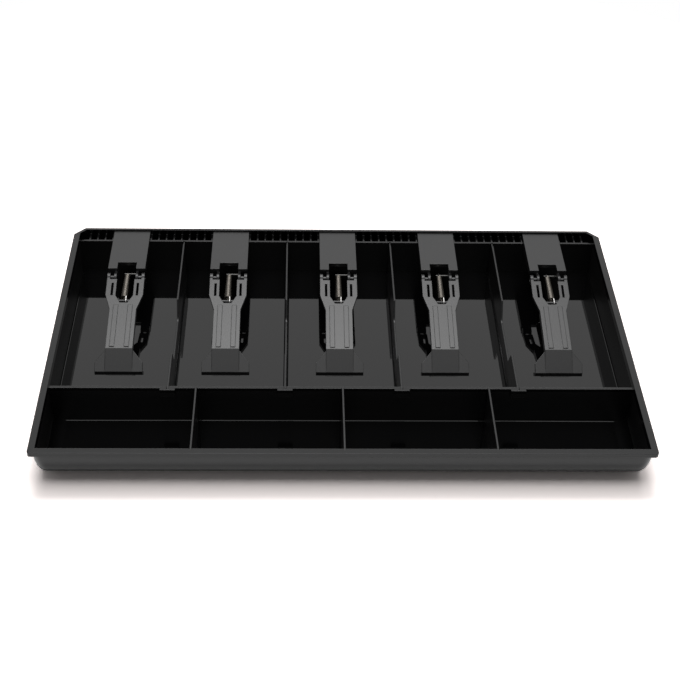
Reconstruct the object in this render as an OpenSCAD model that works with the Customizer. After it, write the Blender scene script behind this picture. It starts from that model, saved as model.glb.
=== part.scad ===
// Cash drawer insert: a moulded tray with bill bays, coin bays, loose dividers and sprung bill clips.
// The front faces -Y, the tray stands on Z = 0 and X runs along the front.

/* [Tray] */
// Width over the rim
tray_w = 405; // [380:1:440]
// Depth over the rim
tray_d = 245; // [235:1:270]
// Height from the table to the top of the rim
tray_h = 35; // [34:0.5:45]
// Thickness of the floor
floor_t = 2.9; // [2:0.1:3.5]
// Thickness of the side walls
side_wall = 2.5; // [1.6:0.1:4]
// Thickness of the front wall
front_wall = 4.2; // [3:0.1:5]
// Thickness of the rear wall
rear_wall = 2; // [1.6:0.1:3]
// Thickness of the rim flange
rim_t = 3.2; // [2:0.1:5]
// Overhang of the rim at each side
rim_side = 2; // [1:0.1:4]
// Overhang of the rim at the front
rim_front = 0.4; // [0.2:0.1:3]
// Length of the slanted cut across each rear corner, along one side
rear_cut = 8; // [6:0.5:9]
// Thickness of the wall across each rear corner
corner_wall = 2.1; // [1.6:0.1:3]
// Radius of the tray's outer edges under the rim, at the front corners and the side feet
edge_r = 8; // [6:0.5:8.5]
// Plan radius of the front corners of the rim
rim_corner_r = 2; // [1:0.5:4]
// Outer radius of the coin scoop along the front foot of the tray
scoop_r = 31.5; // [20:0.5:31.5]
// Radius of the fillets along the feet of the side walls in the bill bays
side_foot_r = 0.8; // [0.5:0.1:1.5]
// Radius of the fillets along the feet of the side walls in the coin bays
coin_end_r = 10; // [8:0.5:14]

/* [Cross wall] */
// Clear depth of the coin bays
coin_depth = 59.8; // [50:0.1:70]
// Thickness of the wall between coins and bills
cross_t = 2; // [1.6:0.1:3]
// Drop of that wall's top below the rim
cross_drop = 2.3; // [1:0.1:4]
// Radius of the fillet along that wall's foot in the coin bays
cross_foot_r = 0.8; // [0.6:0.1:3]
// Width of the bosses that hold the bill dividers
boss_w = 10.3; // [6:0.1:14]
// Depth of those bosses
boss_d = 2; // [1.5:0.1:3]
// Height of those bosses, down from the wall's top
boss_h = 6; // [5:0.5:12]

/* [Clip rail] */
// Width of the comb channel behind the rail
channel_w = 7.4; // [7:0.1:9]
// Thickness of the rail
rail_t = 1.8; // [1.5:0.1:3]
// Drop of the rail's top below the rim
rail_drop = 4.1; // [3.5:0.1:6]
// Step of the comb
comb_pitch = 5.85; // [5.5:0.05:6.5]
// Distance of the comb's middle gap to the right of the tray's middle
comb_x = -0.5; // [-1:0.1:1]
// Thickness of a comb rib
comb_rib = 1.9; // [1.6:0.1:2.6]
// Thickness of those ribs along their tops
comb_tip = 1.2; // [0.8:0.1:1.5]
// Height of the tapered tops
comb_taper = 2.4; // [1:0.1:3]

/* [Dividers] */
// Thickness of a divider plate
divider_t = 1.2; // [1:0.1:2]
// Distance of the bill dividers' middle to the right of the tray's middle
bill_x = 0.5; // [-1:0.1:1]
// Drop of a bill divider's top below the rim
bill_drop = 3.5; // [2.5:0.1:5]
// Drop of a coin divider's top below the rim
coin_drop = 1.2; // [0.5:0.1:4]
// Depth of the finger dip below a bill divider's top
dip_depth = 13.5; // [8:0.5:18]
// Distance from the cross wall to the start of the dip
dip_start = 35; // [25:0.5:45]
// Run of the dip's front slope
dip_front_run = 8.5; // [4:0.5:12]
// Length of the dip's flat bottom
dip_flat = 44.5; // [30:0.5:60]
// Run of the dip's rear slope
dip_rear_run = 7.5; // [4:0.5:12]
// Radius at the foot of the dip's rear slope
dip_r = 4; // [2:0.5:6]
// Length of the tapered tongue at a bill divider's rear end
tongue_len = 5; // [3:0.5:8]
// Thickness of that tongue's tip
tongue_tip = 0.8; // [0.6:0.1:1]
// Drop of that tongue's top below the divider's top
tongue_drop = 1; // [0.6:0.1:2]
// Depth of the grooves that take the divider ends
groove_d = 0.8; // [0.5:0.1:1]
// Play of a divider in its grooves, on each side
divider_play = 0.12; // [0.05:0.01:0.3]

/* [Clip base] */
// Width of a clip base and of the arm's fork
clip_w = 27.5; // [26:0.5:34]
// Thickness of the base plate
base_t = 2.9; // [2.4:0.1:3.4]
// Length of the base plate from the rear wall to its front edge
base_len = 47.3; // [44:0.1:55]
// Width of the notch in the plate's front edge
notch_w = 14; // [13:0.5:16]
// Length of that notch
notch_len = 7.5; // [5:0.1:10]
// Thickness of the cheeks beside the notch
cheek_t = 1.8; // [1.5:0.1:2]
// Radius of a cheek round the hinge
cheek_r = 3.2; // [2.8:0.1:3.6]
// Diameter of the hinge stubs
stub_d = 3; // [2:0.1:3.4]
// Running clearance round a hinge stub
hinge_play = 0.05; // [0.02:0.01:0.1]
// Distance from the plate's front edge to the hinge axis
hinge_ahead = 4.7; // [4.4:0.1:6]
// Distance from the plate's underside down to the hinge axis
hinge_below = 2.1; // [1.8:0.1:3]
// Depth of the lugs that drop into the comb
lug_depth = 6; // [4:0.5:10]
// Play of a lug between two comb ribs, on each side
lug_play = 0.15; // [0.1:0.01:0.3]
// Thickness of the stiffening ribs under the plate's edges
edge_rib_t = 1.6; // [1:0.1:2]
// Height of those ribs
edge_rib_h = 2.8; // [1:0.1:4]
// Steps that each clip is moved along the comb from the middle of its bay
clip_shift = [0, 0, 0, -1, 0];

/* [Clip arm] */
// Slope of the arm at rest
arm_slope = 13; // [10:0.5:15]
// Thickness of the arm plate
arm_t = 2.6; // [2.4:0.1:2.8]
// Thickness of an ear at the end of the fork
ear_t = 2.2; // [1.8:0.1:3.2]
// Radius of an ear round the hinge
ear_r = 3.5; // [2.8:0.1:3.5]
// Play between a cheek and the fork behind it
fork_play = 0.4; // [0.3:0.05:0.8]
// Distance from the hinge to the end of the fork's straight sides
fork_len = 18.3; // [16:0.1:22]
// Distance from the hinge to the start of the neck
taper_end = 31.8; // [28:0.1:36]
// Distance from the hinge to the bend above the foot
arm_len = 67.2; // [60:0.1:70]
// Width of the neck
neck_w = 19.5; // [18:0.5:24]
// Width of the fork's opening
opening_w = 12.8; // [12:0.1:14]
// Distance from the hinge to the end of the opening's straight sides
opening_len = 19; // [18:0.1:20.5]
// Distance from the hinge to the tip of the opening
opening_tip = 25.7; // [25.5:0.1:27.5]
// Width of the opening at its tip
opening_tip_w = 5.6; // [3:0.1:6]
// Width of the slots in the fork's rails
slot_w = 1.6; // [1:0.1:2]
// Distance from the hinge to the start of the slots
slot_start = 7.3; // [6:0.1:9]
// Length of the slots
slot_len = 11.7; // [8:0.1:12]
// Width of the raised strips along the neck
strip_w = 3.4; // [2:0.1:4]
// Distance of a strip's middle from the middle of the neck
strip_x = 5.2; // [4:0.1:6]
// Distance from the hinge to the start of the strips
strip_start = 28; // [26:0.1:32]
// Gap between the strips and the bend
strip_end_gap = 1.2; // [0.5:0.1:3]
// Height of the strips
strip_h = 0.6; // [0.3:0.05:0.8]
// Thickness of the skirts under the neck's edges
skirt_t = 1.5; // [1:0.1:2]
// Height of those skirts
skirt_h = 2; // [1:0.1:2.5]

/* [Clip foot] */
// Width of the foot
foot_w = 34; // [30:0.5:40]
// Slope of the foot at rest
foot_slope = 44; // [40:0.5:50]
// Thickness of the foot plate
foot_t = 2.4; // [2:0.1:2.8]
// Length of the flared part of the wings, along the slope
flare_len = 9.1; // [6:0.1:12]
// Angle by which the wings slope less than the middle panel
wing_ease = 4; // [2:0.5:6]
// Height of the foot's blunt front edge
toe_h = 1.4; // [1:0.1:2]
// Clearance between the sole and the floor
sole_gap = 0.1; // [0.05:0.05:0.3]

/* [Clip spring] */
// Diameter of the spring wire
wire_d = 0.9; // [0.7:0.05:1]
// Outside diameter of the coil
coil_d = 6.1; // [5:0.1:6.6]
// Number of curls in the coil
curls = 14; // [10:1:16]
// Diameter of the steel pin that anchors the spring
anchor_d = 1.6; // [1.2:0.1:2]
// Distance of the anchor pin behind the hinge axis
anchor_back = 7.7; // [7:0.1:9]
// Distance of the anchor pin below the hinge axis
anchor_below = 2.8; // [2.5:0.1:4]
// Radius of the cheek's boss round the anchor pin
anchor_boss_r = 2.6; // [2:0.1:3]
// Length of the anchor pin that stands out of its cheek
anchor_proud = 0.5; // [0.2:0.1:1]
// Length of the anchor pin past the middle of the clip
anchor_past = 2; // [1.5:0.1:3]
// Radial clearance of the anchor pin in its cheek
anchor_play = 0.03; // [0.02:0.01:0.1]
// Diameter of the arm's bar that takes the front hook
bar_d = 2; // [1.6:0.1:2.1]
// Distance from the hinge to that bar
bar_ahead = 23.2; // [22.6:0.1:23.4]
// Height of that bar above the hinge, square to the arm
bar_up = 1.2; // [1.1:0.1:1.4]
// Clearance of a hook round its pin or bar
hook_play = 0.2; // [0.15:0.05:0.4]
// Distance from a hook's centre to the first curl
hook_len = 3; // [2.6:0.1:4]
// Distance of the front hook to the right of the coil's axis
hook_side = 1.6; // [0.5:0.1:1.8]

/* [Hidden] */
$fn = 64;
EPS = 0.01;
OVER = 1;
BILL_BAYS = 5;
COIN_BAYS = 4;
LUGS = 3;
TUBE_SIDES = 6;
CURL_RINGS = 8;
HOOK_RINGS = 8;
HOOK_SWEEP = 200;
ARC_STEPS = 6;
PLASTIC = [0.09, 0.09, 0.095];
CLIP_PLASTIC = [0.14, 0.14, 0.145];
STEEL = [0.62, 0.6, 0.57];

front_y = -tray_d / 2;
back_y = tray_d / 2;
body_half = tray_w / 2 - rim_side;
inner_half = body_half - side_wall;
body_front = front_y + rim_front;
inner_front = body_front + front_wall;
inner_scoop = scoop_r - front_wall;
cross_front = inner_front + coin_depth;
cross_back = cross_front + cross_t;
cross_top = tray_h - cross_drop;
channel_back = back_y - rear_wall;
channel_front = channel_back - channel_w;
channel_cut = inner_half + channel_back - tray_w / 2 - back_y + rear_cut + corner_wall * sqrt(2);
rail_front = channel_front - rail_t;
rail_top = tray_h - rail_drop;
rib_last = floor((inner_half - channel_cut - comb_rib - abs(comb_x)) / comb_pitch - 1 / 2);

bill_pitch = 2 * inner_half / BILL_BAYS;
coin_pitch = 2 * inner_half / COIN_BAYS;
slot_deep = cross_t + boss_d / 2;
slot_low = cross_top - boss_h + boss_d / 2;
groove_w = divider_t + 2 * divider_play;
tongue_groove_w = tongue_tip + (divider_t - tongue_tip) * groove_d / tongue_len + 2 * divider_play;

base_back = channel_back - lug_play;
base_front = base_back - base_len;
hinge_y = base_front - hinge_ahead;
hinge_z = rail_top - hinge_below;
cheek_x = notch_w / 2;
ear_x = clip_w / 2 - ear_t;
fork_start = cheek_r + fork_play;
slot_x = (clip_w / 2 + opening_w / 2) / 2 - slot_w / 2;

bend_y = -arm_len * cos(arm_slope) - arm_t * sin(arm_slope);
bend_z = -arm_len * sin(arm_slope) + arm_t * cos(arm_slope);
sole_z = floor_t + sole_gap - hinge_z;
foot_len = (bend_z - sole_z - toe_h) / sin(foot_slope);
toe_y = bend_y - foot_len * cos(foot_slope);

wire_r = wire_d / 2;
coil_r = coil_d / 2 - wire_r;
anchor_at = [anchor_back, -anchor_below];
anchor_hole_d = anchor_d + 2 * anchor_play;
bar_at = [
    -bar_ahead * cos(arm_slope) - bar_up * sin(arm_slope),
    -bar_ahead * sin(arm_slope) + bar_up * cos(arm_slope)
];
spring_len = norm(bar_at - anchor_at);
spring_dir = (bar_at - anchor_at) / spring_len;
spring_up = [spring_dir[1], -spring_dir[0]];
rear_hook_r = anchor_d / 2 + hook_play + wire_r;
front_hook_r = bar_d / 2 + hook_play + wire_r;
coil_len = spring_len - 2 * hook_len;
coil_turns = curls + asin(hook_side / coil_r) / 360;
coil_rings = ceil(coil_turns * CURL_RINGS);

// Places that repeat along the tray
function bill_divider_x(i) = bill_x + (i - BILL_BAYS / 2) * bill_pitch;
function coin_divider_x(i) = (i - COIN_BAYS / 2) * coin_pitch;
function bay_x(i) = (i - (BILL_BAYS + 1) / 2) * bill_pitch;
function clip_x(i) = comb_x + (round(bay_x(i) / comb_pitch) + clip_shift[i - 1]) * comb_pitch;

// Points on an arc, from one angle to another
function arc(centre, r, from, to) = [
    for (k = [0:ARC_STEPS])
        let (a = from + (to - from) * k / ARC_STEPS)
        centre + r * [cos(a), sin(a)]
];

// Extrudes a profile drawn in depth and height across the width w, centred on X = 0
module across(w) {
    translate([-w / 2, 0, 0])
        rotate([90, 0, 90])
            linear_extrude(w)
                children();
}

// Plan outline with rounded front corners and slanted rear corners
module plan(half, y0, y1, r, cut) {
    translate([-half + r, y0])
        square([2 * (half - r), r + EPS]);
    translate([-half, y0 + r])
        square([2 * half, y1 - y0 - r - cut]);
    for (side = [-1, 1])
        translate([side * (half - r), y0 + r])
            circle(r);
    polygon([[-half, y1 - cut - EPS], [half, y1 - cut - EPS], [half - cut, y1], [cut - half, y1]]);
}

// Side profile with a large round along its front foot
module scooped(y0, y1, z0, z1, r) {
    translate([y0 + r, z0])
        square([y1 - y0 - r, z1 - z0]);
    translate([y0, z0 + r])
        square([r + EPS, z1 - z0 - r]);
    intersection() {
        translate([y0 + r, z0 + r])
            circle(r, $fn = 4 * $fn);
        translate([y0, z0])
            square([r + EPS, r + EPS]);
    }
}

// Trough along Y with rounded lower edges
module trough(half, y0, y1, z0, z1, r) {
    translate([0, y1, z0])
        rotate([90, 0, 0])
            linear_extrude(y1 - y0) {
                translate([-half, r])
                    square([2 * half, z1 - z0 - r]);
                translate([r - half, 0])
                    square([2 * (half - r), r + EPS]);
                for (side = [-1, 1])
                    translate([side * (half - r), r])
                        circle(r);
            }
}

// Round along the tray's front foot, with its ends rounded into the sides
module front_round() {
    translate([0, body_front + scoop_r, scoop_r])
        rotate([0, 90, 0])
            rotate_extrude($fn = 4 * $fn) {
                translate([0, -body_half])
                    square([scoop_r - edge_r, 2 * body_half]);
                translate([scoop_r - edge_r - EPS, edge_r - body_half])
                    square([edge_r + EPS, 2 * (body_half - edge_r)]);
                for (side = [-1, 1])
                    translate([scoop_r - edge_r, side * (body_half - edge_r)])
                        circle(edge_r, $fn = $fn / 4);
            }
}

// Outer form of the tray without its hollows
module tray_block() {
    intersection() {
        linear_extrude(tray_h - EPS)
            plan(body_half, body_front, back_y, edge_r, rear_cut - rim_side);
        union() {
            front_round();
            trough(body_half, body_front + scoop_r, back_y, 0, tray_h, edge_r);
            translate([-body_half, body_front, scoop_r])
                cube([2 * body_half, 2 * scoop_r, tray_h]);
        }
    }
    translate([0, 0, tray_h - rim_t])
        linear_extrude(rim_t)
            plan(tray_w / 2, front_y, back_y, rim_corner_r, rear_cut);
}

// Hollow of the coin bays, with the scoop inside
module coin_hollow() {
    intersection() {
        trough(inner_half, inner_front, cross_front, floor_t, tray_h + OVER, coin_end_r);
        across(tray_w)
            difference() {
                scooped(inner_front, cross_front, floor_t, tray_h + OVER, inner_scoop);
                translate([cross_front - cross_foot_r, floor_t])
                    difference() {
                        square(cross_foot_r);
                        translate([0, cross_foot_r])
                            circle(cross_foot_r);
                    }
            }
    }
}

// Side outline of a coin divider or of the grooves that take it
module coin_divider_side(play, top) {
    scooped(inner_front - groove_d + play, cross_front + groove_d - play, floor_t, top,
        inner_scoop + play);
}

module tray() {
    color(PLASTIC) {
        difference() {
            tray_block();
            coin_hollow();
            trough(inner_half, cross_back, rail_front, floor_t, tray_h + OVER, side_foot_r);
            intersection() {
                linear_extrude(tray_h + OVER)
                    plan(inner_half, channel_front, channel_back, EPS, channel_cut);
                trough(inner_half, channel_front, channel_back, floor_t, tray_h + OVER, side_foot_r);
            }
            translate([-inner_half, cross_front - EPS, cross_top])
                cube([2 * inner_half, cross_t + 2 * EPS, tray_h]);
            translate([-inner_half, rail_front - EPS, rail_top])
                cube([2 * inner_half, rail_t + 2 * EPS, tray_h]);
            for (i = [1:COIN_BAYS - 1])
                translate([coin_divider_x(i), 0, 0])
                    across(groove_w)
                        coin_divider_side(0, tray_h + OVER);
            for (i = [1:BILL_BAYS - 1])
                translate([bill_divider_x(i), 0, 0]) {
                    translate([-groove_w / 2, cross_back - groove_d, floor_t])
                        cube([groove_w, groove_d + EPS, tray_h]);
                    translate([-groove_w / 2, cross_back - cross_t - EPS, slot_low])
                        cube([groove_w, cross_t + 2 * EPS, tray_h]);
                    translate([-tongue_groove_w / 2, rail_front - EPS, floor_t])
                        cube([tongue_groove_w, groove_d + EPS, tray_h]);
                }
        }
        divider_bosses();
        comb();
    }
}

// Slotted bosses on the coin side of the cross wall
module divider_bosses() {
    for (i = [1:BILL_BAYS - 1])
        translate([bill_divider_x(i), 0, 0])
            difference() {
                translate([-boss_w / 2, cross_front - boss_d, cross_top - boss_h])
                    cube([boss_w, boss_d + EPS, boss_h]);
                translate([-groove_w / 2, cross_back - slot_deep, slot_low])
                    cube([groove_w, slot_deep, tray_h]);
            }
}

// Row of ribs in the channel behind the rail
module comb() {
    for (i = [-rib_last - 1:rib_last])
        translate([comb_x + (i + 1 / 2) * comb_pitch, channel_back + EPS, 0])
            rotate([90, 0, 0])
                linear_extrude(channel_w + 2 * EPS)
                    polygon([
                        [-comb_rib / 2, floor_t - EPS], [comb_rib / 2, floor_t - EPS],
                        [comb_rib / 2, rail_top - comb_taper], [comb_tip / 2, rail_top],
                        [-comb_tip / 2, rail_top], [-comb_rib / 2, rail_top - comb_taper]
                    ]);
}

// Bill divider: a plate with a finger dip in its top edge, a nose for the boss and a tapered tongue
module bill_divider(i) {
    foot_y = cross_back - groove_d + divider_play;
    nose_y = cross_back - slot_deep + divider_play;
    nose_low = slot_low + divider_play;
    y1 = rail_front + groove_d - divider_play;
    tongue_y = y1 - tongue_len;
    top = tray_h - bill_drop;
    tongue_top = min(top - tongue_drop, rail_top);
    low = top - dip_depth;
    dip_y = cross_back + dip_start;
    flat_y = dip_y + dip_front_run;
    rise_y = flat_y + dip_flat;
    rise_angle = atan2(dip_depth, dip_rear_run);
    fillet_y = rise_y - dip_r * tan(rise_angle / 2);
    color(PLASTIC)
        translate([bill_divider_x(i), 0, 0]) {
            across(divider_t)
                polygon(concat(
                    [[foot_y, floor_t], [foot_y, nose_low], [nose_y, nose_low]],
                    [[nose_y, min(top, cross_top)], [cross_back, min(top, cross_top)], [cross_back, top]],
                    [[dip_y, top], [flat_y, low]],
                    arc([fillet_y, low + dip_r], dip_r, -90, rise_angle - 90),
                    [[rise_y + dip_rear_run, top], [tongue_y, top], [tongue_y, floor_t]]
                ));
            translate([0, 0, floor_t])
                linear_extrude(tongue_top - floor_t)
                    polygon([
                        [-divider_t / 2, tongue_y - EPS], [divider_t / 2, tongue_y - EPS],
                        [tongue_tip / 2, y1], [-tongue_tip / 2, y1]
                    ]);
        }
}

// Coin divider: a plate whose front foot follows the scoop
module coin_divider(i) {
    color(PLASTIC)
        translate([coin_divider_x(i), 0, 0])
            across(divider_t)
                difference() {
                    coin_divider_side(divider_play, tray_h - coin_drop);
                    translate([cross_front - divider_play, cross_top])
                        square([tray_d, tray_h]);
                }
}

// Side outline of a cheek, drawn about the hinge axis
module cheek_side() {
    circle(cheek_r);
    translate(anchor_at)
        circle(anchor_boss_r);
    polygon([
        [0, -cheek_r],
        [anchor_back, -anchor_below - anchor_boss_r],
        [anchor_back + anchor_boss_r, -anchor_below],
        [hinge_ahead + notch_len + cheek_r, hinge_below + EPS],
        [hinge_ahead, hinge_below + EPS],
        [0, cheek_r]
    ]);
}

// Clip base: a plate on the rail with lugs in the comb, cheeks and hinge stubs
module clip_base(i) {
    lug_w = comb_pitch - comb_rib - 2 * lug_play;
    color(CLIP_PLASTIC)
        translate([clip_x(i), 0, 0]) {
            translate([0, 0, rail_top])
                linear_extrude(base_t)
                    difference() {
                        translate([-clip_w / 2, base_front])
                            square([clip_w, base_len]);
                        translate([-notch_w / 2, base_front - OVER])
                            square([notch_w, notch_len + OVER]);
                    }
            for (k = [0:LUGS - 1])
                translate([(k - (LUGS - 1) / 2) * comb_pitch - lug_w / 2, 0, rail_top - lug_depth])
                    translate([0, channel_front + lug_play, 0])
                        cube([lug_w, channel_w - 2 * lug_play, lug_depth + EPS]);
            for (side = [-1, 1]) {
                translate([side * (cheek_x + cheek_t / 2), hinge_y, hinge_z])
                    difference() {
                        across(cheek_t)
                            cheek_side();
                        if (side > 0)
                            translate([0, anchor_at[0], anchor_at[1]])
                                rotate([0, 90, 0])
                                    cylinder(h = cheek_t + OVER, d = anchor_hole_d, center = true);
                    }
                translate([side * (cheek_x + cheek_t - EPS), hinge_y, hinge_z])
                    rotate([0, side * 90, 0])
                        cylinder(h = clip_w / 2 - cheek_x - cheek_t - hook_play, d = stub_d);
                translate([side * (clip_w - edge_rib_t) / 2 - edge_rib_t / 2, base_front + cheek_r, 0])
                    translate([0, 0, rail_top - edge_rib_h])
                        cube([edge_rib_t, rail_front - base_front - cheek_r - lug_play, edge_rib_h + EPS]);
            }
        }
}

// Steel pin in the right cheek that the spring hooks on
module anchor_pin(i) {
    color(STEEL)
        translate([clip_x(i) - anchor_past, hinge_y + anchor_at[0], hinge_z + anchor_at[1]])
            rotate([0, 90, 0])
                cylinder(h = anchor_past + cheek_x + cheek_t + anchor_proud, d = anchor_d);
}

// Plan outline of the arm plate, drawn forward of the hinge along -Y
module arm_plan() {
    difference() {
        polygon([
            [clip_w / 2, -fork_start], [clip_w / 2, -fork_len], [neck_w / 2, -taper_end],
            [neck_w / 2, -arm_len], [-neck_w / 2, -arm_len], [-neck_w / 2, -taper_end],
            [-clip_w / 2, -fork_len], [-clip_w / 2, -fork_start]
        ]);
        polygon([
            [opening_w / 2, OVER], [opening_w / 2, -opening_len], [opening_tip_w / 2, -opening_tip],
            [-opening_tip_w / 2, -opening_tip], [-opening_w / 2, -opening_len], [-opening_w / 2, OVER]
        ]);
        for (side = [-1, 1])
            translate([side * slot_x - slot_w / 2, -slot_start - slot_len])
                square([slot_w, slot_len]);
    }
}

// Ear of the fork with the bore for a hinge stub
module ear() {
    difference() {
        across(ear_t) {
            circle(ear_r);
            translate([-fork_start - EPS, 0])
                square([fork_start + EPS, arm_t]);
        }
        rotate([0, 90, 0])
            cylinder(h = ear_t + OVER, d = stub_d + 2 * hinge_play, center = true);
    }
}

// Foot of the arm: a middle panel and two wings on one straight toe, cut off at the sole
module foot() {
    wing_slope = foot_slope - wing_ease;
    wing_len = foot_len * cos(foot_slope) / cos(wing_slope);
    below = foot_t + toe_h;
    intersection() {
        translate([0, toe_y, sole_z + toe_h]) {
            rotate([foot_slope, 0, 0])
                translate([-neck_w / 2, -below, -foot_t])
                    cube([neck_w, foot_len + below, foot_t]);
            rotate([wing_slope, 0, 0])
                translate([0, 0, -foot_t])
                    linear_extrude(foot_t)
                        polygon([
                            [foot_w / 2, -below], [foot_w / 2, wing_len - flare_len],
                            [neck_w / 2, wing_len], [-neck_w / 2, wing_len],
                            [-foot_w / 2, wing_len - flare_len], [-foot_w / 2, -below]
                        ]);
        }
        translate([-foot_w, toe_y, sole_z])
            cube([2 * foot_w, -toe_y, tray_h]);
    }
}

// Clip arm: fork, neck and foot, swinging on the base's stubs
module clip_arm(i) {
    color(CLIP_PLASTIC)
        translate([clip_x(i), hinge_y, hinge_z]) {
            rotate([arm_slope, 0, 0]) {
                linear_extrude(arm_t)
                    arm_plan();
                for (side = [-1, 1]) {
                    translate([side * (ear_x + ear_t / 2), 0, 0])
                        ear();
                    translate([side * strip_x - strip_w / 2, -arm_len + strip_end_gap, arm_t - EPS])
                        cube([strip_w, arm_len - strip_end_gap - strip_start, strip_h + EPS]);
                    translate([side * (neck_w - skirt_t) / 2 - skirt_t / 2, -arm_len, -skirt_h])
                        cube([skirt_t, arm_len - taper_end, skirt_h + EPS]);
                }
                translate([0, -bar_ahead, bar_up])
                    rotate([0, 90, 0])
                        cylinder(h = opening_w, d = bar_d, center = true);
            }
            foot();
        }
}

// Spring path in its own axes: across, along the coil and up, with the outward direction at each point
function hook_point(x, s, r, a) = [[x, s + r * cos(a), r * sin(a)], [0, cos(a), sin(a)]];
function coil_point(t) = [
    [coil_r * sin(360 * t), hook_len + coil_len * t / coil_turns, coil_r * cos(360 * t)],
    [sin(360 * t), 0, cos(360 * t)]
];
function tail(p, q) = [p[0] + wire_d * (p[0] - q[0]) / norm(p[0] - q[0]), p[1]];
function hook_turn(k) = HOOK_SWEEP * k / HOOK_RINGS;
rear_hook = [for (k = [HOOK_RINGS:-1:0]) hook_point(0, 0, rear_hook_r, 90 + hook_turn(k))];
coil = [for (k = [0:coil_rings]) coil_point(coil_turns * k / coil_rings)];
front_hook = [
    for (k = [0:HOOK_RINGS])
        hook_point(hook_side, spring_len, front_hook_r, 90 - hook_turn(k))
];
spring_path = concat(
    [tail(rear_hook[0], rear_hook[1])],
    rear_hook,
    coil,
    front_hook,
    [tail(front_hook[HOOK_RINGS], front_hook[HOOK_RINGS - 1])]
);
spring_rings = len(spring_path);
spring_gap = min([
    for (i = [0:spring_rings - 1], j = [i + CURL_RINGS - 2:1:spring_rings - 1])
        norm(spring_path[i][0] - spring_path[j][0])
]) - wire_d;
echo(least_spring_gap = spring_gap);

// One ring of the wire's tube, square to the path
function unit(v) = v / norm(v);
function ring(i) =
    let (
        before = spring_path[max(i - 1, 0)][0],
        after = spring_path[min(i + 1, spring_rings - 1)][0],
        along = unit(after - before),
        side = unit(cross(along, spring_path[i][1])),
        out = cross(side, along)
    ) [
        for (k = [0:TUBE_SIDES - 1])
            let (a = 360 * k / TUBE_SIDES)
            spring_path[i][0] + wire_r * (cos(a) * out + sin(a) * side)
    ];
function to_clip(p) = [
    p[0],
    anchor_at[0] + p[1] * spring_dir[0] + p[2] * spring_up[0],
    anchor_at[1] + p[1] * spring_dir[1] + p[2] * spring_up[1]
];

// Extension spring between the anchor pin and the arm's bar
module clip_spring(i) {
    points = [for (k = [0:spring_rings - 1]) for (p = ring(k)) to_clip(p)];
    last = (spring_rings - 1) * TUBE_SIDES;
    walls = [
        for (k = [0:spring_rings - 2], s = [0:TUBE_SIDES - 1])
            let (
                a = k * TUBE_SIDES + s,
                b = k * TUBE_SIDES + (s + 1) % TUBE_SIDES
            )
            each [[a, b, a + TUBE_SIDES], [b, b + TUBE_SIDES, a + TUBE_SIDES]]
    ];
    caps = [
        for (s = [1:TUBE_SIDES - 2])
            each [[0, s + 1, s], [last, last + s, last + s + 1]]
    ];
    color(STEEL)
        translate([clip_x(i), hinge_y, hinge_z])
            polyhedron(points, concat(walls, caps));
}

tray();
for (i = [1:BILL_BAYS - 1])
    bill_divider(i);
for (i = [1:COIN_BAYS - 1])
    coin_divider(i);
for (i = [1:BILL_BAYS]) {
    clip_base(i);
    anchor_pin(i);
    clip_arm(i);
    clip_spring(i);
}
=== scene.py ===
import math

import bmesh
import bpy
from mathutils import Matrix, Vector


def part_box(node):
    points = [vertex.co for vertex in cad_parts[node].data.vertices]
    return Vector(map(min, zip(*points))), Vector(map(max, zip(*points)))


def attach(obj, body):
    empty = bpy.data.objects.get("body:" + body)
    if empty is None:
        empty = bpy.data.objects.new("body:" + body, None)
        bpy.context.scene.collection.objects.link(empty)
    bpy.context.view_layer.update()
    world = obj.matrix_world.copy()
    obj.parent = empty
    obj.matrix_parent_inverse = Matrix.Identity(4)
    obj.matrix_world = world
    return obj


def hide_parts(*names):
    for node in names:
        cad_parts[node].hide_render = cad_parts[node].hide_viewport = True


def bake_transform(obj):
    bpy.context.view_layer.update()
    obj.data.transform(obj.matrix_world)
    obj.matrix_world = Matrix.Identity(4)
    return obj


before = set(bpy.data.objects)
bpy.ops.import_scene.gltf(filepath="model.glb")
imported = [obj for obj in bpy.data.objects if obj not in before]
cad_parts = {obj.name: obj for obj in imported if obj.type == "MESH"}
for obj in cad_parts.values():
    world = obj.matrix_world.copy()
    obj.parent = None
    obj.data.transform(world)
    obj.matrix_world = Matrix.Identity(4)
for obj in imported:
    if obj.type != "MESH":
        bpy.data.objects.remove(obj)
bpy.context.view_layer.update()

# Tray
# The body of the insert: floor, walls, flanged rim, coin scoop, rail and comb, moulded in one piece
# of black plastic. The mould is polished on the bays' floors, satin on their walls and finely etched
# on the rim and outside.
tray_black = (0.0012, 0.0012, 0.0013, 1)
worn_black = (0.02, 0.02, 0.021, 1)
flow_scale = 14
flow_low = 0.7
flow_rise = 0.6
rub_scale = 90
wear_gain = 3
edge_samples = 8
etched_roughness = 0.15
polished_roughness = 0.02
satin_roughness = 0.4
etched_marks = 0.06
bay_marks = 0.03
etched_grain = 0.0004
bay_grain = 0.004
etched_depth = 0.000008
bay_depth = 0.000001
level_from = 0.5
tray_edge = 0.0005
edges_from = 0.02
bay_low = Vector((-0.1981, -0.1181, 0.001))
bay_high = Vector((0.1981, 0.1114, 0.0302))


def place(tree, kind, feeds=None, **options):
    """Adds a node, sets its options, and feeds its inputs with plain values or other nodes' sockets."""
    node = tree.nodes.new(kind)
    for name, value in options.items():
        setattr(node, name, value)
    for key, value in (feeds or {}).items():
        if isinstance(value, bpy.types.NodeSocket):
            tree.links.new(value, node.inputs[key])
        else:
            node.inputs[key].default_value = value
    return node


def maths(tree, operation, *terms):
    """A math node on plain values or sockets, as its output socket."""
    return place(tree, "ShaderNodeMath", dict(enumerate(terms)), operation=operation).outputs[0]


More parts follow.
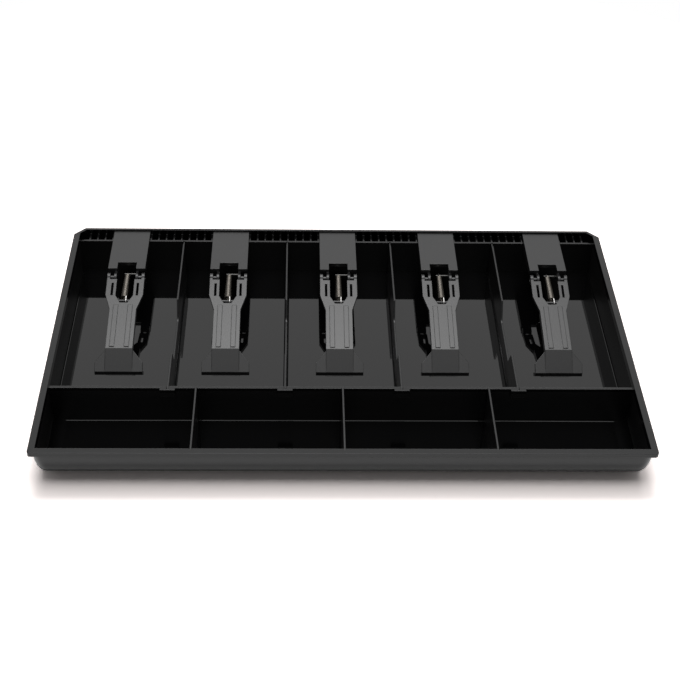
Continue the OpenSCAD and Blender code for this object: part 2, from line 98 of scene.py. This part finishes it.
def mixed(tree, kind, factor, first, second, blend="MIX"):
    """A mix of two values or colours, as its output socket."""
    a, b, result = {"FLOAT": (2, 3, 0), "RGBA": (6, 7, 2)}[kind]
    feeds = {0: factor, a: first, b: second}
    return place(tree, "ShaderNodeMix", feeds, data_type=kind, blend_type=blend).outputs[result]


def moulded_face():
    """Node group for a moulded face: drifting tone, marks in the gloss, grain, and rounded, worn edges."""
    tree = bpy.data.node_groups.new("moulded_face", "ShaderNodeTree")
    tree.interface.new_socket("Plastic", in_out="INPUT", socket_type="NodeSocketColor")
    for label in ("Roughness", "Marks", "Grain Size", "Grain Depth", "Edge Radius"):
        tree.interface.new_socket(label, in_out="INPUT", socket_type="NodeSocketFloat")
    tree.interface.new_socket("Base Color", in_out="OUTPUT", socket_type="NodeSocketColor")
    tree.interface.new_socket("Roughness", in_out="OUTPUT", socket_type="NodeSocketFloat")
    tree.interface.new_socket("Normal", in_out="OUTPUT", socket_type="NodeSocketVector")
    given = tree.nodes.new("NodeGroupInput").outputs
    where = place(tree, "ShaderNodeTexCoord").outputs["Object"]
    flow = place(tree, "ShaderNodeTexNoise", {"Vector": where, "Scale": flow_scale, "Detail": 4})
    tone = maths(tree, "MULTIPLY_ADD", flow.outputs["Fac"], flow_rise, flow_low)
    plastic = mixed(tree, "RGBA", 1, given["Plastic"], tone, "MULTIPLY")
    rubbed = place(tree, "ShaderNodeTexNoise", {"Vector": where, "Scale": rub_scale, "Detail": 6})
    marks = maths(tree, "MULTIPLY_ADD", rubbed.outputs["Fac"], given["Marks"], given["Roughness"])
    bevel = place(tree, "ShaderNodeBevel", {"Radius": given["Edge Radius"]}, samples=edge_samples)
    rounded = bevel.outputs["Normal"]
    face = place(tree, "ShaderNodeNewGeometry").outputs["Normal"]
    turned = place(tree, "ShaderNodeVectorMath", {0: rounded, 1: face}, operation="DOT_PRODUCT")
    edge = maths(tree, "SUBTRACT", 1, turned.outputs["Value"])
    wear = maths(tree, "MULTIPLY", maths(tree, "MULTIPLY", edge, wear_gain), rubbed.outputs["Fac"])
    worn = maths(tree, "MINIMUM", wear, 1)
    per_metre = maths(tree, "DIVIDE", 1, given["Grain Size"])
    grain = place(tree, "ShaderNodeTexNoise", {"Vector": where, "Scale": per_metre, "Detail": 2})
    relief = place(
        tree,
        "ShaderNodeBump",
        {"Height": grain.outputs["Fac"], "Distance": given["Grain Depth"], "Normal": rounded},
    )
    place(
        tree,
        "NodeGroupOutput",
        {
            "Base Color": mixed(tree, "RGBA", worn, plastic, worn_black),
            "Roughness": marks,
            "Normal": relief.outputs["Normal"],
        },
    )
    return tree


def new_material(name):
    """A node material and the Principled shader in it."""
    material = bpy.data.materials.new(name)
    material.use_nodes = True
    return material, material.node_tree.nodes["Principled BSDF"]


def dress(material, shader, look, feeds):
    """Places a look's node group in a material and links it to the shader's inputs of the same names."""
    tree = material.node_tree
    for output in place(tree, "ShaderNodeGroup", feeds, node_tree=look).outputs:
        tree.links.new(output, shader.inputs[output.name])


def inside_box(tree, axes, low, high):
    """A mask that is 1 where a point's three coordinates lie inside a box."""
    mask = 1
    for axis, least, most in zip(axes, low, high):
        above = maths(tree, "GREATER_THAN", axis, least)
        below = maths(tree, "LESS_THAN", axis, most)
        mask = maths(tree, "MULTIPLY", mask, maths(tree, "MULTIPLY", above, below))
    return mask


moulded = moulded_face()
tray_plastic, tray_shader = new_material("tray_plastic")
tree = tray_plastic.node_tree
coordinates = place(tree, "ShaderNodeTexCoord").outputs
axes = place(tree, "ShaderNodeSeparateXYZ", {"Vector": coordinates["Object"]}).outputs
facing = place(tree, "ShaderNodeSeparateXYZ", {"Vector": coordinates["Normal"]}).outputs
in_bays = inside_box(tree, axes, bay_low, bay_high)
level = maths(tree, "GREATER_THAN", facing["Z"], level_from)
bay_roughness = mixed(tree, "FLOAT", level, satin_roughness, polished_roughness)
has_edges = maths(tree, "GREATER_THAN", axes["Z"], edges_from)
dress(
    tray_plastic,
    tray_shader,
    moulded,
    {
        "Plastic": tray_black,
        "Roughness": mixed(tree, "FLOAT", in_bays, etched_roughness, bay_roughness),
        "Marks": mixed(tree, "FLOAT", in_bays, etched_marks, bay_marks),
        "Grain Size": mixed(tree, "FLOAT", in_bays, etched_grain, bay_grain),
        "Grain Depth": mixed(tree, "FLOAT", in_bays, etched_depth, bay_depth),
        "Edge Radius": maths(tree, "MULTIPLY", has_edges, tray_edge),
    },
)
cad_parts["tray"].material_slots[0].material = tray_plastic

# Bill dividers
# Four thin plates between the bill bays, moulded in the same black plastic and pushed into slots in
# the cross wall and the rail. The dip in each top edge leaves room for a finger, and a small hollow
# radius runs along the foot of each side.
bill_dividers = range(1, 5)
divider_roughness = 0.32
divider_marks = 0.08
divider_grain = 0.0015
divider_depth = 0.000002
divider_edge = 0.0005
foot_radius = 0.0011
foot_steps = 8
foot_sunk = 0.0001
foot_front = -0.0561
foot_back = 0.1113


def hollow_foot(builder, face, outward, floor_top):
    """Adds to a mesh the hollow radius between the floor and one side face of a divider."""
    outline = [(face - outward * foot_sunk, floor_top - foot_sunk)]
    for step in range(foot_steps + 1):
        angle = math.pi / 2 * step / foot_steps
        reach = foot_radius * (1 - math.sin(angle))
        outline.append((face + outward * reach, floor_top + foot_radius * (1 - math.cos(angle))))
    ends = [[builder.verts.new((x, y, z)) for x, z in outline] for y in (foot_front, foot_back)]
    for here, there in zip(range(len(outline)), [*range(1, len(outline)), 0]):
        side = builder.faces.new((ends[0][here], ends[0][there], ends[1][there], ends[1][here]))
        side.smooth = 0 < here <= foot_steps
    for end in ends:
        for step in range(1, foot_steps + 1):
            builder.faces.new((end[0], end[step], end[step + 1]))


divider_plastic, divider_shader = new_material("divider_plastic")
dress(
    divider_plastic,
    divider_shader,
    moulded,
    {
        "Plastic": tray_black,
        "Roughness": divider_roughness,
        "Marks": divider_marks,
        "Grain Size": divider_grain,
        "Grain Depth": divider_depth,
        "Edge Radius": divider_edge,
    },
)
for number in bill_dividers:
    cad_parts[f"bill_divider_{number}"].material_slots[0].material = divider_plastic
    low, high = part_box(f"bill_divider_{number}")
    builder = bmesh.new()
    hollow_foot(builder, low.x, -1, low.z)
    hollow_foot(builder, high.x, 1, low.z)
    bmesh.ops.recalc_face_normals(builder, faces=builder.faces)
    mesh = bpy.data.meshes.new(f"divider_foot_{number}")
    builder.to_mesh(mesh)
    builder.free()
    mesh.materials.append(divider_plastic)
    piece = bpy.data.objects.new(f"divider_foot_{number}", mesh)
    bpy.context.scene.collection.objects.link(piece)
    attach(piece, "insert")

# Coin dividers
# Three plates between the coin bays, of the same moulding run as the bill dividers. The front foot of
# each follows the scoop, and both ends sit in grooves.
coin_dividers = range(1, 4)
for number in coin_dividers:
    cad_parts[f"coin_divider_{number}"].material_slots[0].material = divider_plastic

# Clip bases
# A plate for each bill bay that hooks over the rail and the comb, with two cheeks that carry the arm's
# hinge. Moulded in black plastic with an even spark-etched skin.
clips = range(1, 6)
clip_black = (0.005, 0.005, 0.0053, 1)
clip_ior = 1.61
clip_roughness = 0.31
clip_marks = 0.06
clip_grain = 0.0006
clip_depth = 0.00002
clip_edge = 0.00045
clip_plastic, clip_shader = new_material("clip_plastic")
clip_shader.inputs["IOR"].default_value = clip_ior
dress(
    clip_plastic,
    clip_shader,
    moulded,
    {
        "Plastic": clip_black,
        "Roughness": clip_roughness,
        "Marks": clip_marks,
        "Grain Size": clip_grain,
        "Grain Depth": clip_depth,
        "Edge Radius": clip_edge,
    },
)
for number in clips:
    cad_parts[f"clip_base_{number}"].material_slots[0].material = clip_plastic

# Anchor pins
# A short plated steel rod pressed through the right cheek of each base, with its free end under the
# middle of the clip for the spring's rear hook.
pin_lines = (60, 2500, 2500)
pin_dark = (0.05, 0.05, 0.048, 1)
pin_bright = (0.11, 0.108, 0.104, 1)
pin_roughness = 0.14
pin_marks = 0.15


def drawn_metal():
    """Node group for drawn wire and rod: tone and gloss follow a noise that can be stretched."""
    tree = bpy.data.node_groups.new("drawn_metal", "ShaderNodeTree")
    tree.interface.new_socket("Per Metre", in_out="INPUT", socket_type="NodeSocketVector")
    for label in ("Dark", "Bright"):
        tree.interface.new_socket(label, in_out="INPUT", socket_type="NodeSocketColor")
    for label in ("Roughness", "Marks"):
        tree.interface.new_socket(label, in_out="INPUT", socket_type="NodeSocketFloat")
    tree.interface.new_socket("Base Color", in_out="OUTPUT", socket_type="NodeSocketColor")
    tree.interface.new_socket("Roughness", in_out="OUTPUT", socket_type="NodeSocketFloat")
    given = tree.nodes.new("NodeGroupInput").outputs
    where = place(tree, "ShaderNodeTexCoord").outputs["Object"]
    stretch = {0: where, 1: given["Per Metre"]}
    stretched = place(tree, "ShaderNodeVectorMath", stretch, operation="MULTIPLY").outputs["Vector"]
    noise = place(tree, "ShaderNodeTexNoise", {"Vector": stretched, "Scale": 1, "Detail": 4})
    lines = noise.outputs["Fac"]
    place(
        tree,
        "NodeGroupOutput",
        {
            "Base Color": mixed(tree, "RGBA", lines, given["Dark"], given["Bright"]),
            "Roughness": maths(tree, "MULTIPLY_ADD", lines, given["Marks"], given["Roughness"]),
        },
    )
    return tree


drawn = drawn_metal()


def steel(name, per_metre, dark, bright, roughness, marks):
    """A steel with the drawn look at its own values."""
    material, shader = new_material(name)
    shader.inputs["Metallic"].default_value = 1
    feeds = {
        "Per Metre": per_metre,
        "Dark": dark,
        "Bright": bright,
        "Roughness": roughness,
        "Marks": marks,
    }
    dress(material, shader, drawn, feeds)
    return material


pin_steel = steel("pin_steel", pin_lines, pin_dark, pin_bright, pin_roughness, pin_marks)
for number in clips:
    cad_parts[f"anchor_pin_{number}"].material_slots[0].material = pin_steel

# Clip arms
# The spring-loaded arm that presses the bills down: a fork on the hinge, a neck with two raised strips
# and a flared foot, moulded in one piece of the same plastic as the bases.
for number in clips:
    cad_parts[f"clip_arm_{number}"].material_slots[0].material = clip_plastic

# Clip springs
# A close-wound extension spring in each fork, of dark drawn steel wire, hooked round the anchor pin
# behind the hinge and round the bar in the fork. Both hooks get a far paler steel, a painted highlight
# that makes their glints white.
wire = 0.0009
wire_sides = 10
coil = 0.0061
curls = 23
curl_steps = 18
hook_steps = 12
hook_sweep = math.radians(205)
hook_reach = 0.003
hook_play = 0.0002
hook_side = Vector((0.0016, 0, 0))
pin_radius = 0.0008
pin_past = 0.002
bar_radius = 0.001
bar_from_pin = Vector((0, -0.030575, -0.00125))
along = bar_from_pin.normalized()
across = Vector((1, 0, 0))
up = along.cross(across)
spring_lines = (350, 350, 350)
spring_dark = (0.15, 0.137, 0.12, 1)
spring_bright = (0.26, 0.242, 0.218, 1)
spring_roughness = 0.1
# The hooks' steel is far paler than the coil's: a painted highlight, so that the hooks show white glints.
hook_glint_dark = (0.82, 0.81, 0.79, 1)
hook_glint_bright = (0.92, 0.91, 0.89, 1)
hook_roughness = 0.12
spring_marks = 0.1


def spring_route(pin, bar):
    """Points along the wire's middle, from the rear hook round the coil to the front hook."""
    ring = coil / 2 - wire / 2
    run = bar_from_pin.length - 2 * hook_reach
    turns = curls + math.asin(hook_side.x / ring) / math.tau
    route = []
    rear = pin_radius + hook_play + wire / 2
    for step in range(hook_steps + 1):
        angle = math.pi / 2 + hook_sweep * (1 - step / hook_steps)
        route.append(pin + rear * (along * math.cos(angle) + up * math.sin(angle)))
    for step in range(curls * curl_steps + 1):
        share = step / (curls * curl_steps)
        angle = math.tau * turns * share
        middle = pin + along * (hook_reach + run * share)
        route.append(middle + ring * (across * math.sin(angle) + up * math.cos(angle)))
    front = bar_radius + hook_play + wire / 2
    for step in range(hook_steps + 1):
        angle = math.pi / 2 - hook_sweep * step / hook_steps
        route.append(bar + front * (along * math.cos(angle) + up * math.sin(angle)))
    return route


def wire_on_route():
    """Geometry Nodes tree that draws a round wire along a line of points."""
    tree = bpy.data.node_groups.new("wire_on_route", "GeometryNodeTree")
    tree.interface.new_socket("Geometry", in_out="INPUT", socket_type="NodeSocketGeometry")
    tree.interface.new_socket("Wire Diameter", in_out="INPUT", socket_type="NodeSocketFloat")
    tree.interface.new_socket("Wire Sides", in_out="INPUT", socket_type="NodeSocketInt")
    tree.interface.new_socket("Steel", in_out="INPUT", socket_type="NodeSocketMaterial")
    tree.interface.new_socket("Geometry", in_out="OUTPUT", socket_type="NodeSocketGeometry")
    given = tree.nodes.new("NodeGroupInput").outputs
    path = place(tree, "GeometryNodeMeshToCurve", {"Mesh": given["Geometry"]})
    radius = maths(tree, "DIVIDE", given["Wire Diameter"], 2)
    section = place(
        tree, "GeometryNodeCurvePrimitiveCircle", {"Resolution": given["Wire Sides"], "Radius": radius}
    )
    tube = place(
        tree,
        "GeometryNodeCurveToMesh",
        {"Curve": path.outputs[0], "Profile Curve": section.outputs[0], "Fill Caps": True},
    )
    real = place(tree, "GeometryNodeRealizeInstances", {"Geometry": tube.outputs[0]})
    finished = place(
        tree, "GeometryNodeSetMaterial", {"Geometry": real.outputs[0], "Material": given["Steel"]}
    )
    place(tree, "NodeGroupOutput", {"Geometry": finished.outputs[0]})
    return tree


spring_steel = steel(
    "spring_steel", spring_lines, spring_dark, spring_bright, spring_roughness, spring_marks
)
hook_glint_steel = steel("hook_glint_steel", spring_lines, hook_glint_dark, hook_glint_bright, hook_roughness, spring_marks)
wire_tree = wire_on_route()
wire_sizes = {"Wire Diameter": wire, "Wire Sides": wire_sides, "Steel": spring_steel}
for number in clips:
    low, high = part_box(f"anchor_pin_{number}")
    pin = Vector((low.x + pin_past, (low.y + high.y) / 2, (low.z + high.z) / 2))
    bar = pin + bar_from_pin + hook_side
    route = spring_route(pin, bar)
    mesh = bpy.data.meshes.new(f"wound_spring_{number}")
    mesh.from_pydata(route, [(step, step + 1) for step in range(len(route) - 1)], [])
    piece = bpy.data.objects.new(f"wound_spring_{number}", mesh)
    bpy.context.scene.collection.objects.link(piece)
    drawing = piece.modifiers.new("wire", "NODES")
    drawing.node_group = wire_tree
    for item in wire_tree.interface.items_tree:
        if item.in_out == "INPUT" and item.name in wire_sizes:
            drawing[item.identifier] = wire_sizes[item.name]
    graph = bpy.context.evaluated_depsgraph_get()
    piece.data = bpy.data.meshes.new_from_object(piece.evaluated_get(graph), depsgraph=graph)
    piece.modifiers.remove(drawing)
    # Faces on the hooks take the paler steel, their painted highlight.
    piece.data.materials.append(hook_glint_steel)
    for face in piece.data.polygons:
        face.use_smooth = len(face.vertices) == 4
        on_hook = min((face.center - pin).length, (face.center - bar).length) < hook_reach
        face.material_index = on_hook
    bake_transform(piece)
    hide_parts(f"clip_spring_{number}")

# Studio floor
# A plain white round board under the insert, matt, that runs out into the white surround.
# The camera sees it whiter than the light it gives back to the insert.
floor_radius = 0.65
floor_points = 96
floor_gap = 0.0001
floor_lit = (0.8, 0.8, 0.8, 1)
floor_mirrored = (1.1, 1.1, 1.1, 1)
floor_seen = (1.98, 1.84, 1.8, 1)


def by_ray(tree, kind, lit, mirrored, seen):
    """A value for light that falls on the object, one for mirrored rays and one for the camera's own."""
    rays = place(tree, "ShaderNodeLightPath").outputs
    shown = maths(tree, "MAXIMUM", rays["Is Glossy Ray"], rays["Is Transmission Ray"])
    return mixed(tree, kind, rays["Is Camera Ray"], mixed(tree, kind, shown, lit, mirrored), seen)


floor_mesh = bpy.data.meshes.new("studio_floor")
turn = [math.tau * step / floor_points for step in range(floor_points)]
rim = [(floor_radius * math.cos(angle), floor_radius * math.sin(angle), -floor_gap) for angle in turn]
floor_mesh.from_pydata(rim, [], [range(floor_points)])
floor = bpy.data.objects.new("studio_floor", floor_mesh)
bpy.context.scene.collection.objects.link(floor)
floor_white, floor_shader = new_material("floor_white")
tree = floor_white.node_tree
paint = by_ray(tree, "RGBA", floor_lit, floor_mirrored, floor_seen)
board = place(tree, "ShaderNodeBsdfDiffuse", {"Color": paint})
tree.links.new(board.outputs[0], tree.nodes["Material Output"].inputs["Surface"])
tree.nodes.remove(floor_shader)
floor_mesh.materials.append(floor_white)

# Studio light
# A wide softbox above the insert with a brighter middle behind it, a narrow one in front that only
# softens the shadow, a white backdrop, and a dim room in front and at the sides.
box_height = 1.2
boxes = {
    "softbox": {"near": (-0.5, -0.26), "far": (0.5, 0.7), "watts": 6.4},
    "softbox_middle": {"near": (-0.31, 0.02), "far": (0.21, 0.42), "watts": 5.8},
    "softbox_front": {"near": (-0.5, -0.65), "far": (0.5, -0.26), "watts": 3.6},
}
fill_low = 0.06
fill_rise = 0.12
front_dim = 0.4
front_ramp = (-0.95, -0.5)
side_dim = 0.25
side_ramp = (0.3, 0.6)
for name, box in boxes.items():
    near, far = box["near"], box["far"]
    lamp = bpy.data.lights.new(name, "AREA")
    lamp.shape = "RECTANGLE"
    lamp.size = far[0] - near[0]
    lamp.size_y = far[1] - near[1]
    lamp.energy = box["watts"]
    softbox = bpy.data.objects.new(name, lamp)
    softbox.location = ((near[0] + far[0]) / 2, (near[1] + far[1]) / 2, box_height)
    softbox.visible_camera = False
    softbox.visible_glossy = name != "softbox_front"
    bpy.context.scene.collection.objects.link(softbox)


def ramp(tree, value, limits, ends):
    """A value led from one end to the other between two limits, as its output socket."""
    feeds = {
        "Value": value,
        "From Min": limits[0],
        "From Max": limits[1],
        "To Min": ends[0],
        "To Max": ends[1],
    }
    return place(tree, "ShaderNodeMapRange", feeds).outputs["Result"]


world = bpy.data.worlds.new("studio")
world.use_nodes = True
bpy.context.scene.world = world
tree = world.node_tree
heading = place(tree, "ShaderNodeTexCoord").outputs["Generated"]
axes = place(tree, "ShaderNodeSeparateXYZ", {"Vector": heading}).outputs
fill = maths(tree, "MULTIPLY_ADD", maths(tree, "MAXIMUM", axes["Z"], 0), fill_rise, fill_low)
front = ramp(tree, axes["Y"], front_ramp, (front_dim, 1))
side = ramp(tree, maths(tree, "ABSOLUTE", axes["X"]), side_ramp, (1, side_dim))
backdrop = maths(tree, "MULTIPLY", front, side)
surround = tree.nodes["Background"]
surround.inputs["Color"].default_value = (1, 1, 1, 1)
tree.links.new(by_ray(tree, "FLOAT", fill, backdrop, 1), surround.inputs["Strength"])

# Camera
# A still camera in front of the insert and above it, turned slightly to the right.
# Its place and angles put the rim and the floor where the photograph has them.
camera_place = Vector((-0.0299, -0.7364, 0.6506))
camera_yaw = math.radians(2.28)
camera_pitch = math.radians(40.26)
camera_roll = math.radians(1.71)
camera_lens = 71.85
camera_sensor = 36
camera_data = bpy.data.cameras.new("camera")
camera_data.lens = camera_lens
camera_data.sensor_width = camera_sensor
camera = bpy.data.objects.new("camera", camera_data)
camera.matrix_world = (
    Matrix.Translation(camera_place)
    @ Matrix.Rotation(-camera_yaw, 4, "Z")
    @ Matrix.Rotation(math.pi / 2 - camera_pitch, 4, "X")
    @ Matrix.Rotation(camera_roll, 4, "Z")
)
bpy.context.scene.collection.objects.link(camera)
bpy.context.scene.camera = camera
bpy.context.scene.view_settings.view_transform = "Standard"
